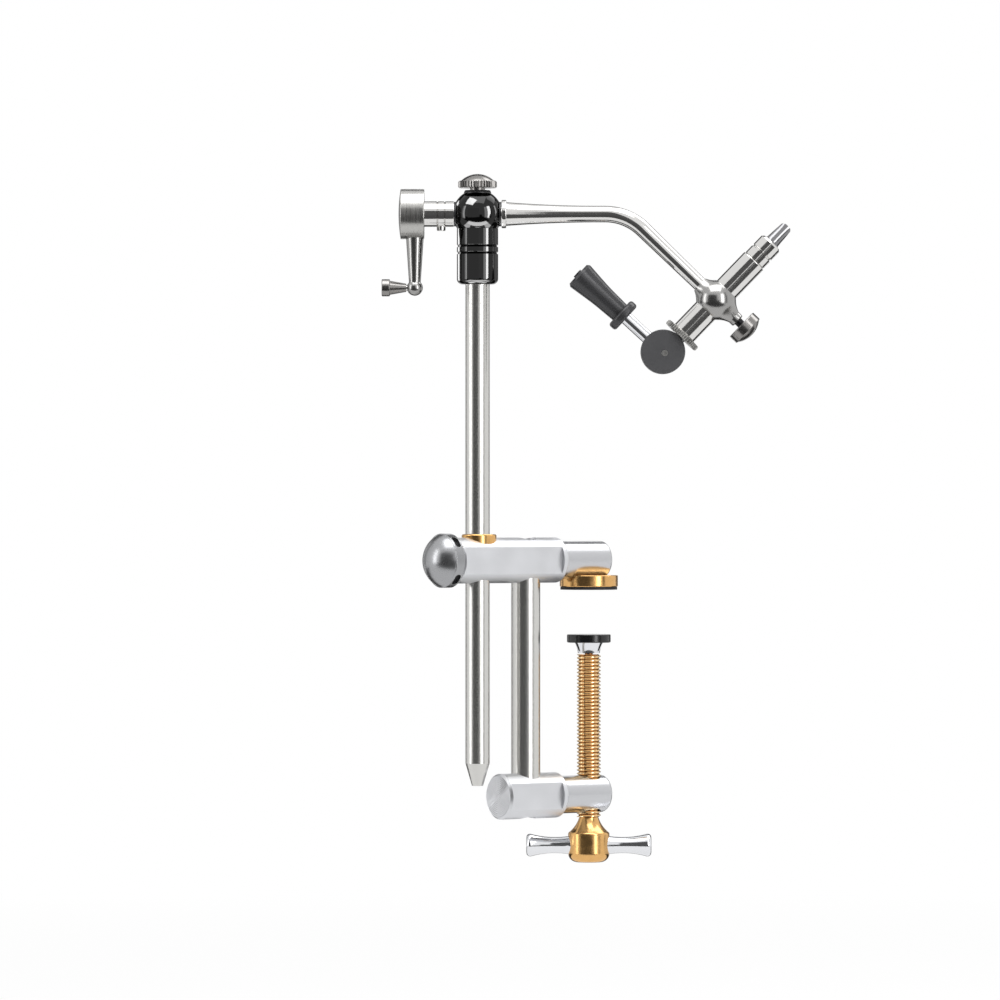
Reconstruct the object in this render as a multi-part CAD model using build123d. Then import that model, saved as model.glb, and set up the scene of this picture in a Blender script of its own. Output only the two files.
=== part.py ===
from build123d import *
from math import cos, radians, sin, tan
import os

# Fly tying vise. Millimetres and degrees. The origin is the middle of the upper pad's face, the plane of
# a table top; Z is up, X is the way the jaws point, and the clamp bars run at CLAMP_TURN to X.

# Stance
CLAMP_TURN = 36.0
PAD_REACH = 57.0
COLUMN_REACH = 24.5
UPPER_BAR_Z = 12.4
LOWER_BAR_Z = -84.8
HEAD_Z = 154.4
JAW_RISE = 46.0

# Fits: a running fit's radial gap, and the gap between two faces that pass each other
RUN = 0.05
PASS = 0.1
EDGE = 0.4

# Clamp bars and column
BAR_R = 9.4
BAR_FLAT = 7.6
BAR_NECK_R = 7.8
BAR_STEP = 40.0
BAR_TIP = 64.0
BAR_CHAMFER = 0.9
FLAT_END = 1.0
FLAT_STEP = 2.4
TIP_ROUND = 1.4
UPPER_BAR_END = -13.0
LOWER_BAR_END = 10.5
COLUMN_R = 6.0
COLUMN_IN = 4.0
BOLT_R = 2.5
BOLT_HEAD_R = 4.2
BOLT_SEAT = 5.4
BOLT_HEAD = 2.0
BOLT_IN = 9.0
BOLT_KEY = 1.5

# Upper pad
PAD_R = 12.1
PAD_FACE_R = 11.8
PAD_FACE = 1.2
PAD_TOP = 6.0
PAD_SCREW_R = 2.0
PAD_SCREW_HEAD_R = 3.8
PAD_SCREW_HEAD = 2.2
PAD_SCREW_TOP = 13.0

# Stem and its lock
STEM_R = 5.0
STEM_TOP = 145.2
STEM_CONE_TOP = -70.8
STEM_FOOT = -80.0
STEM_FOOT_R = 2.3
PLUNGER_R = 6.4
PLUNGER_BACK = -10.5
PLUNGER_FRONT = 11.5
PLUNGER_TRAVEL = 1.1
FERRULE_R = 6.5
FERRULE_OFF = 1.6
FERRULE_FOOT = 5.5
FERRULE_TOP = 10.8
FERRULE_ROUND = 0.7
STUD_R = 3.0
STUD_IN = 3.5
LOCK_R = 11.1
LOCK_BACK = 14.0
LOCK_RIM = 18.5
LOCK_DOME = 6.5
LOCK_BORE = 21.6
LOCK_WASHER_R = 8.8
LOCK_NOTCHES = 4
LOCK_NOTCH_W = 5.6
LOCK_NOTCH_L = 2.8
LOCK_NOTCH_DEPTH = 2.0
LOCK_NOTCH_AT = 16.2
KNOB_RING_IN = 6.9
KNOB_RING_R = 9.7
KNOB_RING_END = 17.9

# Clamp screw, its pad and its handle
SCREW_R = 5.0
SCREW_ROOT_R = 4.1
SCREW_PITCH = 1.5
SCREW_TURNS = 45
CREST = 0.2
BALL_Z = -24.6
BALL_R = 2.4
BALL_NECK_R = 1.5
SCREW_TOP = -26.9
LOW_PAD_TOP = -18.6
LOW_PAD_R = 9.1
CUP_TOP = -22.0
CUP_FOOT = -26.4
CUP_TOP_R = 6.0
CUP_WAIST = -24.4
CUP_WAIST_R = 4.95
CUP_FOOT_R = 4.6
HUB_TOP_R = 3.95
HUB_NECK = 3.4
HUB_NECK_R = 5.5
HUB_SHOULDER = 6.3
HUB_SHOULDER_R = 8.2
HUB_R = 8.6
HUB_BELLY = 7.4
HUB_LOWER = 15.0
HUB_FOOT = 18.8
HUB_FOOT_R = 4.9
TENON_R = 3.0
TENON = 6.0
HANDLE_DROP = 11.7
HANDLE_REACH = 26.0
HANDLE_END_R = 4.8
HANDLE_MID = 15.8
HANDLE_MID_R = 3.4
HANDLE_ROOT = 7.3
HANDLE_ROOT_R = 4.0
HANDLE_ROUND = 1.8
SPIGOT_R = 2.0
SPIGOT = 3.6

# Head housing
BALL_HOUSE_R = 10.25
HOUSE_FLAT = 8.9
HOUSE_TOP = 8.5
HOUSE_BORE_R = 4.5
SOCKET_R = 8.5
SOCKET_TOP = -6.0
SOCKET_FOOT = -28.9
SOCKET_ROUND = 2.4
SOCKET_CEILING = -9.0
GROOVES = (-16.0, -13.1)
GROOVE = 0.5
SOCKET_SCREW_R = 1.5
SOCKET_SCREW_Z = -22.0
KEY = 0.8

# Rotary shaft, brake and crank
SHAFT_R = 3.5
BUSH = 6.0
FLANGE = 0.8
FLANGE_R = 5.05
SHAFT_BACK = -29.0
SHAFT_FRONT = 9.75
SHAFT_TENON_R = 2.5
SHAFT_TENON = 21.0
COLLAR_R = 5.3
COLLAR_BACK = -21.8
COLLAR_FRONT = -9.8
COLLAR_GROOVES = (-16.4, -13.4)
COLLAR_GROOVE = 0.35
COLLAR_SCREW_X = -14.9
COLLAR_SCREW_R = 1.3
COLLAR_SCREW_SEAT = 4.7
COLLAR_SCREW_END = 6.9
SEAT_R = 5.6
SEAT_TOP_R = 5.2
SEAT_TOP = 9.75
TENSION_SCREW_R = 2.5
TENSION_SCREW_FOOT = 6.2
TENSION_BASE = 10.7
TENSION_RIM = 13.6
TENSION_R = 7.95
TENSION_DOME_R = 6.9
TENSION_DOME = 2.9
TENSION_NECK_R = 3.05
TENSION_TEETH = 44
CRANK_R = 10.3
CRANK_BACK = -31.6
CRANK_DOME = 0.8
CRANK_X = -25.7
CRANK_ROOT = 9.5
CRANK_ROOT_R = 3.65
CRANK_END = 27.6
CRANK_END_R = 2.45
CRANK_BALL = 30.2
CRANK_BALL_R = 3.3
PIN_R = 1.2
PIN_HEAD_R = 2.0
PIN_HEAD = 0.9
GRIP_START = 3.5
GRIP_START_R = 1.7
GRIP_DISC = 10.2
GRIP_DISC_R = 3.55
GRIP_FLARE_R = 2.9
GRIP_END = 13.6

# Bent arm and jaw holder
ARM_RING = 9.85
ARM_RING_R = 5.9
ARM_ROOT = 11.8
ARM_ROOT_R = 4.95
ARM_MID = 25.6
ARM_MID_R = 4.05
ARM_BEND_TUBE_R = 3.45
ARM_BEND_R = 22.0
ARM_ELBOW = 61.3
ARM_SLANT = 50.7
ARM_END_R = 3.0
ARM_END = 6.3
HOLDER_R = 8.2
HOLDER_SWEEP = 5.9
NECK_R = 3.4
NECK_END = 9.2
NECK_DIP = 0.24
BOSS_R = 2.9
BOSS_START = 10.2
BOSS_DIP = 0.35
BOSS_END = 12.5
THUMB_SCREW_R = 1.75
THUMB_TIP = 5.45
THUMB_TIP_R = 1.2
THUMB_KNOB = 14.4
THUMB_RIM = 18.4
THUMB_R = 6.9
THUMB_DOME_R = 6.3
THUMB_DOME = 2.2
THUMB_IN = 16.4

# Jaw barrel and nose
BARREL_R = 5.4
BARREL_BACK = -18.9
BARREL_FRONT = 22.4
BARREL_BORE_R = 4.0
BARREL_GUIDE = -14.0
RING_SEAT_R = 3.9
RING_SEAT_BACK = -21.1
RING_R = 8.3
RING_TEETH = 48
TOOTH = 0.35
NOSE_R = 5.0
NOSE_IN = 17.0
NOSE_END = 32.8
NOSE_CHAMFER = 0.8
NOSE_GROOVE = 26.9
NOSE_GROOVE_W = 0.25
NOSE_BORE_R = 2.7
NOSE_CONE = 29.6
NOSE_MOUTH_R = 3.5
SPRING_R = 3.25
SPRING_WIRE_R = 0.35
SPRING_TURNS = 7

# Drawbar and jaws
DRAWBAR_R = 2.55
DRAWBAR_BACK = -33.5
TONGUE = 2.0
TONGUE_FRONT = -21.3
STOP_BACK = -4.0
STOP_FRONT = -2.0
STOP_R = 3.8
CROSSHEAD_BACK = 8.0
CROSSHEAD_FRONT = 15.0
CROSSHEAD_R = 3.7
HEEL_X = 14.0
HEEL_Y = 1.4
HEEL_R = 1.2
HEEL_HALF = 2.3
WEB = 1.2
WEB_GAP = 0.25
JAW_BACK = 16.2
JAW_R = 2.35
JAW_CONE = 29.2
JAW_SHOULDER_R = 3.0
JAW_SHOULDER = 33.4
JAW_TIP = 42.3
JAW_TIP_R = 2.35
JAW_TIP_ROUND = 1.8
JAW_SLIT = 0.2
JAW_TIP_HALF = 1.1

# Cam and lever
PIVOT_X = -30.4
CAM_R = 9.1
CAM_OFF = 0.92
CAM_HALF = 4.5
CAM_SLOT = 2.1
CAM_RELIEF = 4.2
CAM_PIN_R = 1.3
CAM_PIN_DRILL_R = 0.7
LEVER_TILT = 1.5
LEVER_R = 2.7
LEVER_ROOT = 9.5
LEVER_SPIGOT = 5.0
LEVER_FLANGE = 21.2
LEVER_FLANGE_R = 6.85
LEVER_FLANGE_W = 3.7
GRIP_NECK_R = 4.3
GRIP_WAIST = 35.0
GRIP_WAIST_R = 4.75
GRIP_SWEEP = 90.0
GRIP_FULL = 46.9
GRIP_FULL_R = 6.05
GRIP_FACE = 48.0
GRIP_FACE_R = 5.2
GRIP_BUTTON = 48.7
GRIP_BUTTON_R = 2.0
GRIP_BORE = 40.0

# Places worked out from the above
stem_x = -PAD_REACH * cos(radians(CLAMP_TURN))
stem_y = -PAD_REACH * sin(radians(CLAMP_TURN))
arm_fall = 90.0 - JAW_RISE
holder_x = ARM_ELBOW + ARM_SLANT * cos(radians(arm_fall))
holder_z = -ARM_SLANT * sin(radians(arm_fall))
bend_tangent = ARM_BEND_R * tan(radians(arm_fall / 2))
screw_foot = SCREW_TOP - SCREW_TURNS * SCREW_PITCH
handle_z = screw_foot - HANDLE_DROP
long = 60.0

# Frames and the ways a turned piece can point
UP = Rot(0, -90, 0)
DOWN = Rot(0, 90, 0)
REAR = Rot(0, 0, 90)
LEFT = Rot(0, 0, 180)
CLAMP = Pos(stem_x, stem_y, 0) * Rot(0, 0, CLAMP_TURN)
UPPER_BAR = CLAMP * Pos(0, 0, UPPER_BAR_Z)
LOWER_BAR = CLAMP * Pos(0, 0, LOWER_BAR_Z)
STEM = Pos(stem_x, stem_y, 0)
HEAD = Pos(stem_x, stem_y, HEAD_Z)
JAW = HEAD * Pos(holder_x, 0, holder_z) * Rot(0, -JAW_RISE, 0)
CAM = Pos(PIVOT_X, 0, 0) * Rot(0, -LEVER_TILT, 0)


def turn(*edges):
    """A solid turned about X from a closed outline of edges."""
    return revolve(make_face([e for part in edges for e in part.edges()]), Axis.X)


def lathe(*corners):
    """A solid turned about X from corners of (along, radius) or (along, radius, rounding)."""
    points = [corner[:2] for corner in corners]
    rounds = [corner[2] if len(corner) == 3 else 0 for corner in corners]
    if any(rounds):
        return turn(FilletPolyline(*points, radius=rounds, close=True))
    return turn(Polyline(*points, close=True))


def rod(radius, start, end):
    """A plain cylinder along X."""
    return lathe((start, 0), (start, radius), (end, radius), (end, 0))


def tube(inner, outer, start, end):
    """A plain sleeve along X."""
    return lathe((start, inner), (start, outer), (end, outer), (end, inner))


def crown(base, radius, height):
    """A spherical crown along X on a flat base."""
    sphere_r = (radius**2 + height**2) / (2 * height)
    part_way = (sphere_r**2 - (radius / 2) ** 2) ** 0.5 - (sphere_r - height)
    arc = ThreePointArc((base, radius), (base + part_way, radius / 2), (base + height, 0))
    return turn(arc, Polyline((base + height, 0), (base, 0), (base, radius)))


def disc(radius, start, end):
    """A short cylinder along X with both edges rounded."""
    return lathe((start, 0), (start, radius, EDGE), (end, radius, EDGE), (end, 0))


def knurled(radius, teeth, start, end):
    """A short cylinder along X with bevelled edges and straight teeth round its rim."""
    blank = lathe(
        (start, 0),
        (start, radius - EDGE),
        (start + EDGE, radius),
        (end - EDGE, radius),
        (end, radius - EDGE),
        (end, 0),
    )
    step = 180 / teeth
    rim = [radius + PASS if i % 2 == 0 else radius - TOOTH for i in range(2 * teeth)]
    points = [(r * cos(radians(i * step)), r * sin(radians(i * step))) for i, r in enumerate(rim)]
    face = make_face(Polyline(*points, close=True).edges())
    return blank & Pos(start, 0, 0) * Rot(0, 90, 0) * extrude(face, end - start)


def clamp_bar(end):
    """A clamp bar along X about its own axis, with flats, a polished tip and a column pocket above it."""
    bar = lathe(
        (end, 0),
        (end, BAR_R - BAR_CHAMFER),
        (end + BAR_CHAMFER, BAR_R),
        (BAR_STEP, BAR_R, 2 * EDGE),
        (BAR_STEP, BAR_NECK_R),
        (BAR_TIP, BAR_NECK_R, TIP_ROUND),
        (BAR_TIP, 0),
    )
    start = end + FLAT_END
    stop = BAR_STEP - FLAT_STEP
    for side in (-1, 1):
        flat = Box(stop - start, BAR_R, 2 * BAR_R)
        bar -= Pos((start + stop) / 2, side * (BAR_FLAT + BAR_R / 2), 0) * flat
    pocket = rod(COLUMN_R, -BAR_R, COLUMN_IN) + rod(BOLT_R, 0, BAR_R)
    pocket += rod(BOLT_HEAD_R, BOLT_SEAT, BAR_R)
    return bar - Pos(COLUMN_REACH, 0, 0) * UP * pocket


def ferrule_block():
    """The outside of the stem's guide above the upper bar's axis, longer along the bar than across it."""
    face = Pos(FERRULE_OFF / 2, 0, FERRULE_FOOT) * SlotCenterToCenter(FERRULE_OFF, 2 * FERRULE_R)
    return extrude(face, FERRULE_TOP - FERRULE_FOOT)


def stem_ferrule():
    block = ferrule_block()
    block = fillet(block.faces().sort_by(Axis.Z)[-1].edges(), FERRULE_ROUND)
    block -= UP * rod(STEM_R + RUN, 0, FERRULE_TOP)
    block -= rod(PLUNGER_R + RUN, -long, long)
    return UPPER_BAR * block


def upper_clamp_bar():
    bar = clamp_bar(UPPER_BAR_END)
    bar -= rod(PLUNGER_R + RUN, UPPER_BAR_END, PLUNGER_FRONT + 2 * PLUNGER_TRAVEL)
    stem_hole = rod(STEM_R + RUN, -BAR_R, BAR_R)
    bar -= UP * stem_hole
    bar -= ferrule_block()
    seat = Pos(PAD_REACH, 0, -UPPER_BAR_Z) * UP
    bar -= seat * rod(PAD_R + PASS, 0, PAD_TOP)
    bar -= seat * rod(PAD_SCREW_R, 0, PAD_SCREW_TOP)
    return UPPER_BAR * bar


def lower_clamp_bar():
    bar = Rot(180, 0, 0) * clamp_bar(LOWER_BAR_END)
    bar -= Pos(PAD_REACH, 0, 0) * UP * rod(SCREW_R + RUN, -BAR_R, BAR_R)
    return LOWER_BAR * bar


def clamp_column():
    foot = LOWER_BAR_Z - COLUMN_IN
    top = UPPER_BAR_Z + COLUMN_IN
    post = rod(COLUMN_R, foot, top)
    post -= rod(BOLT_R, foot, foot + BOLT_IN) + rod(BOLT_R, top - BOLT_IN, top)
    return CLAMP * Pos(COLUMN_REACH, 0, 0) * UP * post


def column_bolt():
    """A socket screw along X that reaches from a bar's far side into the column's end."""
    head = BOLT_SEAT + BOLT_HEAD
    bolt = rod(BOLT_R, COLUMN_IN - BOLT_IN, BOLT_SEAT)
    bolt += lathe((BOLT_SEAT, 0), (BOLT_SEAT, BOLT_HEAD_R), (head, BOLT_HEAD_R, EDGE), (head, 0))
    key = Pos(head - BOLT_KEY, 0, 0) * Rot(0, 90, 0) * extrude(RegularPolygon(BOLT_KEY, 6), BOLT_KEY)
    return bolt - key


def upper_pad():
    screw = rod(PAD_SCREW_R, PAD_FACE, PAD_SCREW_TOP)
    screw += rod(PAD_SCREW_HEAD_R, PAD_FACE, PAD_FACE + PAD_SCREW_HEAD)
    return {
        "upper_pad_disc": UP * (disc(PAD_R, PAD_FACE, PAD_TOP) - screw),
        "upper_pad_screw": UP * screw,
        "upper_pad_face": UP * rod(PAD_FACE_R, 0, PAD_FACE),
    }


def stem_lock():
    plunger = disc(PLUNGER_R, PLUNGER_BACK, PLUNGER_FRONT)
    play = PLUNGER_TRAVEL + PASS
    hole = UP * rod(STEM_R + RUN, -BAR_R, BAR_R)
    slot = hole + Pos(-play, 0, 0) * hole
    slot += Pos(-play / 2, 0, 0) * Box(play, 2 * (STEM_R + RUN), 2 * BAR_R)
    stud_end = PLUNGER_BACK + STUD_IN
    plunger -= slot + rod(STUD_R, PLUNGER_BACK, stud_end)
    stud = rod(STUD_R, -LOCK_BORE + PLUNGER_TRAVEL + PASS, stud_end)
    rim_r = LOCK_R - LOCK_NOTCH_DEPTH
    knob = disc(LOCK_R, LOCK_BACK, LOCK_RIM) + crown(LOCK_RIM, LOCK_R - EDGE, LOCK_DOME)
    ring = tube(KNOB_RING_IN, KNOB_RING_R, LOCK_BACK, KNOB_RING_END)
    knob -= rod(STUD_R + RUN, LOCK_BACK, LOCK_BORE) + ring
    for i in range(LOCK_NOTCHES):
        notch = Pos(LOCK_NOTCH_AT, 0, rim_r) * extrude(
            SlotOverall(LOCK_NOTCH_W, LOCK_NOTCH_L, rotation=90), LOCK_R
        )
        knob -= Rot((i + 0.5) * 360 / LOCK_NOTCHES, 0, 0) * notch
    washer = tube(STUD_R + 2 * PASS, LOCK_WASHER_R, -UPPER_BAR_END + PASS, LOCK_BACK)
    return {
        "stem_lock_plunger": UPPER_BAR * plunger,
        "stem_lock_stud": UPPER_BAR * stud,
        "stem_lock_knob": UPPER_BAR * LEFT * knob,
        "knob_ring": UPPER_BAR * LEFT * ring,
        "knob_washer": UPPER_BAR * LEFT * washer,
    }


def clamp_screw():
    """The screw's ridges at the thread's pitch, a ball on a neck above them and a tenon below."""
    outline = [(screw_foot, 0)]
    for i in range(SCREW_TURNS):
        z = screw_foot + i * SCREW_PITCH
        outline += [
            (z, SCREW_ROOT_R),
            (z + SCREW_PITCH / 2 - CREST, SCREW_R),
            (z + SCREW_PITCH / 2 + CREST, SCREW_R),
        ]
    outline += [(SCREW_TOP, SCREW_ROOT_R), (SCREW_TOP, 0)]
    screw = lathe(*outline)
    screw += rod(BALL_NECK_R, SCREW_TOP, BALL_Z)
    screw += Pos(BALL_Z, 0, 0) * Sphere(BALL_R)
    screw += rod(TENON_R, screw_foot - TENON, screw_foot)
    return UP * screw


def lower_pad():
    flare = ThreePointArc((CUP_FOOT, CUP_FOOT_R), (CUP_WAIST, CUP_WAIST_R), (CUP_TOP, CUP_TOP_R))
    cup = turn(flare, Polyline((CUP_TOP, CUP_TOP_R), (CUP_TOP, 0), (CUP_FOOT, 0), (CUP_FOOT, CUP_FOOT_R)))
    cup -= Pos(BALL_Z, 0, 0) * Sphere(BALL_R + RUN) + rod(BALL_R + RUN, BALL_Z, CUP_TOP)
    return {"swivel_cup": UP * cup, "lower_pad_face": UP * disc(LOW_PAD_R, CUP_TOP, LOW_PAD_TOP)}


def handle_bar():
    """One arm of the T handle along X, waisted, from inside the hub to its rounded end."""
    tip = FilletPolyline(
        (HANDLE_REACH - HANDLE_ROUND, HANDLE_END_R),
        (HANDLE_REACH, HANDLE_END_R),
        (HANDLE_REACH, 0),
        radius=HANDLE_ROUND - PASS,
    )
    waist = ThreePointArc(
        (HANDLE_ROOT, HANDLE_ROOT_R),
        (HANDLE_MID, HANDLE_MID_R),
        (HANDLE_REACH - HANDLE_ROUND, HANDLE_END_R),
    )
    root = Polyline((HANDLE_REACH, 0), (HANDLE_ROOT, 0), (HANDLE_ROOT, HANDLE_ROOT_R))
    return turn(waist, tip, root)


def screw_handle():
    flare = ThreePointArc((0, HUB_TOP_R), (HUB_NECK, HUB_NECK_R), (HUB_SHOULDER, HUB_SHOULDER_R))
    shoulder = ThreePointArc(
        (HUB_SHOULDER, HUB_SHOULDER_R),
        ((HUB_SHOULDER + HUB_BELLY) / 2, HUB_R - PASS / 2),
        (HUB_BELLY, HUB_R),
    )
    corner = (HUB_R - HUB_FOOT_R, HUB_FOOT - HUB_LOWER)
    bottom = ThreePointArc(
        (HUB_LOWER, HUB_R),
        (HUB_LOWER + corner[1] * sin(radians(45)), HUB_FOOT_R + corner[0] * cos(radians(45))),
        (HUB_FOOT, HUB_FOOT_R),
    )
    rest = Polyline((HUB_FOOT, HUB_FOOT_R), (HUB_FOOT, 0), (0, 0), (0, HUB_TOP_R))
    hub = turn(flare, shoulder, Line((HUB_BELLY, HUB_R), (HUB_LOWER, HUB_R)), bottom, rest)
    hub = Pos(0, 0, screw_foot) * DOWN * hub
    spigot = rod(SPIGOT_R, HANDLE_ROOT - SPIGOT, HUB_R + EDGE)
    right = Pos(0, 0, handle_z)
    left = right * LEFT
    bars = {
        "right_handle_bar": right * handle_bar() - hub + right * spigot,
        "left_handle_bar": left * handle_bar() - hub + left * spigot,
    }
    hub -= right * spigot + left * spigot + Pos(0, 0, screw_foot) * DOWN * rod(TENON_R, 0, TENON)
    return {"handle_hub": hub, **bars}


def stem():
    post = lathe(
        (STEM_FOOT, 0),
        (STEM_FOOT, STEM_FOOT_R, EDGE),
        (STEM_CONE_TOP, STEM_R),
        (STEM_TOP, STEM_R, EDGE),
        (STEM_TOP, 0),
    )
    return STEM * UP * post


def head_housing():
    outline = [(SOCKET_FOOT, 0), (SOCKET_FOOT, SOCKET_R, SOCKET_ROUND)]
    for z in GROOVES:
        outline += [(z - GROOVE, SOCKET_R), (z, SOCKET_R - GROOVE), (z + GROOVE, SOCKET_R)]
    outline += [(SOCKET_TOP, SOCKET_R), (SOCKET_TOP, 0)]
    house = Sphere(BALL_HOUSE_R) + UP * lathe(*outline)
    trim = Box(BALL_HOUSE_R, long, long)
    for side in (-1, 1):
        house -= Pos(side * (HOUSE_FLAT + BALL_HOUSE_R / 2), 0, 0) * trim
    house -= Pos(0, 0, HOUSE_TOP + BALL_HOUSE_R / 2) * Box(long, long, BALL_HOUSE_R)
    house -= rod(HOUSE_BORE_R, -HOUSE_FLAT, HOUSE_FLAT)
    house -= UP * rod(STEM_R + RUN, SOCKET_FOOT, SOCKET_CEILING)
    house -= UP * rod(TENSION_SCREW_R + RUN, 0, HOUSE_TOP)
    house -= Pos(0, 0, SOCKET_SCREW_Z) * REAR * rod(SOCKET_SCREW_R, 0, SOCKET_R)
    return HEAD * house


def bush():
    """A flanged plain bearing along X, for one side of the housing."""
    sleeve = tube(SHAFT_R + RUN, HOUSE_BORE_R, HOUSE_FLAT - BUSH, HOUSE_FLAT)
    return sleeve + tube(SHAFT_R + RUN, FLANGE_R, HOUSE_FLAT, HOUSE_FLAT + FLANGE)


def socket_set_screw():
    screw = rod(SOCKET_SCREW_R, STEM_R + RUN, SOCKET_R - PASS)
    key = extrude(RegularPolygon(KEY, 6), -KEY)
    screw -= Pos(SOCKET_R - PASS, 0, 0) * Rot(0, 90, 0) * key
    return HEAD * Pos(0, 0, SOCKET_SCREW_Z) * REAR * screw


def brake():
    seat = lathe(
        (HOUSE_TOP, TENSION_SCREW_R + RUN),
        (HOUSE_TOP, SEAT_R),
        (HOUSE_TOP + EDGE, SEAT_R),
        (SEAT_TOP, SEAT_TOP_R),
        (SEAT_TOP, TENSION_SCREW_R + RUN),
    )
    shoe = rod(TENSION_SCREW_R, SHAFT_R + RUN, TENSION_SCREW_FOOT - RUN)
    knob = knurled(TENSION_R, TENSION_TEETH, TENSION_BASE, TENSION_RIM)
    knob += crown(TENSION_RIM, TENSION_DOME_R, TENSION_DOME)
    knob += rod(TENSION_NECK_R, SEAT_TOP + PASS, TENSION_BASE)
    screw = rod(TENSION_SCREW_R, TENSION_SCREW_FOOT, TENSION_RIM)
    return {
        "tension_seat": HEAD * UP * seat,
        "brake_shoe": HEAD * UP * shoe,
        "tension_knob": HEAD * UP * (knob - screw),
        "tension_screw": HEAD * UP * screw,
    }


def rotor():
    shaft = rod(SHAFT_R, SHAFT_BACK, SHAFT_FRONT) + rod(SHAFT_TENON_R, SHAFT_FRONT, SHAFT_TENON)
    outline = [(COLLAR_BACK, SHAFT_R), (COLLAR_BACK, COLLAR_R)]
    for x in COLLAR_GROOVES:
        outline += [
            (x - COLLAR_GROOVE, COLLAR_R),
            (x, COLLAR_R - COLLAR_GROOVE),
            (x + COLLAR_GROOVE, COLLAR_R),
        ]
    outline += [(COLLAR_FRONT, COLLAR_R), (COLLAR_FRONT, SHAFT_R)]
    screw = rod(COLLAR_SCREW_R, SHAFT_R, COLLAR_SCREW_SEAT)
    screw += lathe(
        (COLLAR_SCREW_SEAT, 0),
        (COLLAR_SCREW_SEAT, COLLAR_SCREW_R + GROOVE),
        (COLLAR_SCREW_END, COLLAR_SCREW_R + GROOVE, EDGE),
        (COLLAR_SCREW_END, 0),
    )
    screw = Pos(COLLAR_SCREW_X, 0, 0) * DOWN * screw
    return {
        "rotary_shaft": HEAD * shaft,
        "shaft_collar": HEAD * (lathe(*outline) - screw),
        "collar_set_screw": HEAD * (screw - rod(SHAFT_R, SHAFT_BACK, SHAFT_FRONT)),
    }


def crank():
    hub = disc(CRANK_R, CRANK_BACK, COLLAR_BACK)
    hub += LEFT * crown(-CRANK_BACK, CRANK_R - EDGE, CRANK_DOME)
    hub -= rod(SHAFT_R, SHAFT_BACK, COLLAR_BACK)
    seat = Pos(CRANK_X, 0, 0) * DOWN
    spigot = rod(SPIGOT_R, CRANK_ROOT - SPIGOT, CRANK_ROOT)
    hub -= seat * (spigot + rod(CRANK_ROOT_R, CRANK_ROOT, CRANK_R + 1))
    arm = lathe((CRANK_ROOT, 0), (CRANK_ROOT, CRANK_ROOT_R), (CRANK_END, CRANK_END_R), (CRANK_END, 0))
    arm += spigot + Pos(CRANK_BALL, 0, 0) * Sphere(CRANK_BALL_R) + rod(CRANK_END_R, CRANK_END, CRANK_BALL)
    pin = rod(PIN_R, 0, GRIP_END) + rod(PIN_HEAD_R, GRIP_END - PIN_HEAD, GRIP_END)
    grip = lathe(
        (GRIP_START, 0),
        (GRIP_START, GRIP_START_R),
        (GRIP_DISC, GRIP_FLARE_R),
        (GRIP_DISC, GRIP_DISC_R, EDGE),
        (GRIP_END, GRIP_DISC_R, EDGE),
        (GRIP_END, 0),
    )
    grip -= rod(PIN_R + RUN, 0, GRIP_END) + rod(PIN_HEAD_R + RUN, GRIP_END - PIN_HEAD - RUN, GRIP_END)
    hand = HEAD * Pos(CRANK_X, 0, -CRANK_BALL) * LEFT
    arm_placed = HEAD * seat * arm
    return {
        "crank_hub": HEAD * hub,
        "crank_arm": arm_placed - hand * pin,
        "crank_pin": hand * pin,
        "crank_knob": hand * grip,
    }


def bent_arm():
    bend_start = ARM_ELBOW - bend_tangent
    taper = ThreePointArc(
        (ARM_ROOT, ARM_ROOT_R), (ARM_MID, ARM_MID_R), (bend_start, ARM_BEND_TUBE_R)
    )
    sides = Polyline((bend_start, ARM_BEND_TUBE_R), (bend_start, 0), (ARM_ROOT, 0), (ARM_ROOT, ARM_ROOT_R))
    arm = turn(taper, sides)
    arm += disc(ARM_RING_R, ARM_RING, ARM_ROOT)
    section = Plane((bend_start, 0, 0), x_dir=(0, 1, 0), z_dir=(1, 0, 0)) * Circle(ARM_BEND_TUBE_R)
    arm += revolve(section, Axis((bend_start, 0, -ARM_BEND_R), (0, 1, 0)), arm_fall)
    slant = lathe(
        (ARM_END, 0),
        (ARM_END, ARM_END_R),
        (ARM_SLANT - bend_tangent, ARM_BEND_TUBE_R),
        (ARM_SLANT - bend_tangent, 0),
    )
    arm -= rod(SHAFT_TENON_R, 0, SHAFT_TENON)
    return HEAD * arm + JAW * UP * slant


def jaw_holder(arm):
    """A ball round the barrel that sweeps into a neck round the arm and a boss for the thumb screw."""
    sweep_r = (HOLDER_R**2 - HOLDER_SWEEP**2) ** 0.5
    neck_mid = (-(HOLDER_SWEEP + NECK_END) / 2, (sweep_r + NECK_R) / 2 - NECK_DIP)
    boss_mid = ((HOLDER_SWEEP + BOSS_START) / 2, (sweep_r + BOSS_R) / 2 - BOSS_DIP)
    neck = ThreePointArc((-NECK_END, NECK_R), neck_mid, (-HOLDER_SWEEP, sweep_r))
    ball = ThreePointArc((-HOLDER_SWEEP, sweep_r), (0, HOLDER_R), (HOLDER_SWEEP, sweep_r))
    boss = ThreePointArc((HOLDER_SWEEP, sweep_r), boss_mid, (BOSS_START, BOSS_R))
    ends = Polyline(
        (BOSS_START, BOSS_R),
        (BOSS_END - EDGE, BOSS_R),
        (BOSS_END, BOSS_R - EDGE),
        (BOSS_END, 0),
        (-NECK_END, 0),
        (-NECK_END, NECK_R),
    )
    holder = DOWN * turn(neck, ball, boss, ends)
    holder -= rod(BARREL_R + RUN, -long, long)
    holder -= DOWN * rod(THUMB_SCREW_R + RUN, 0, BOSS_END)
    return JAW * holder - arm


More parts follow.
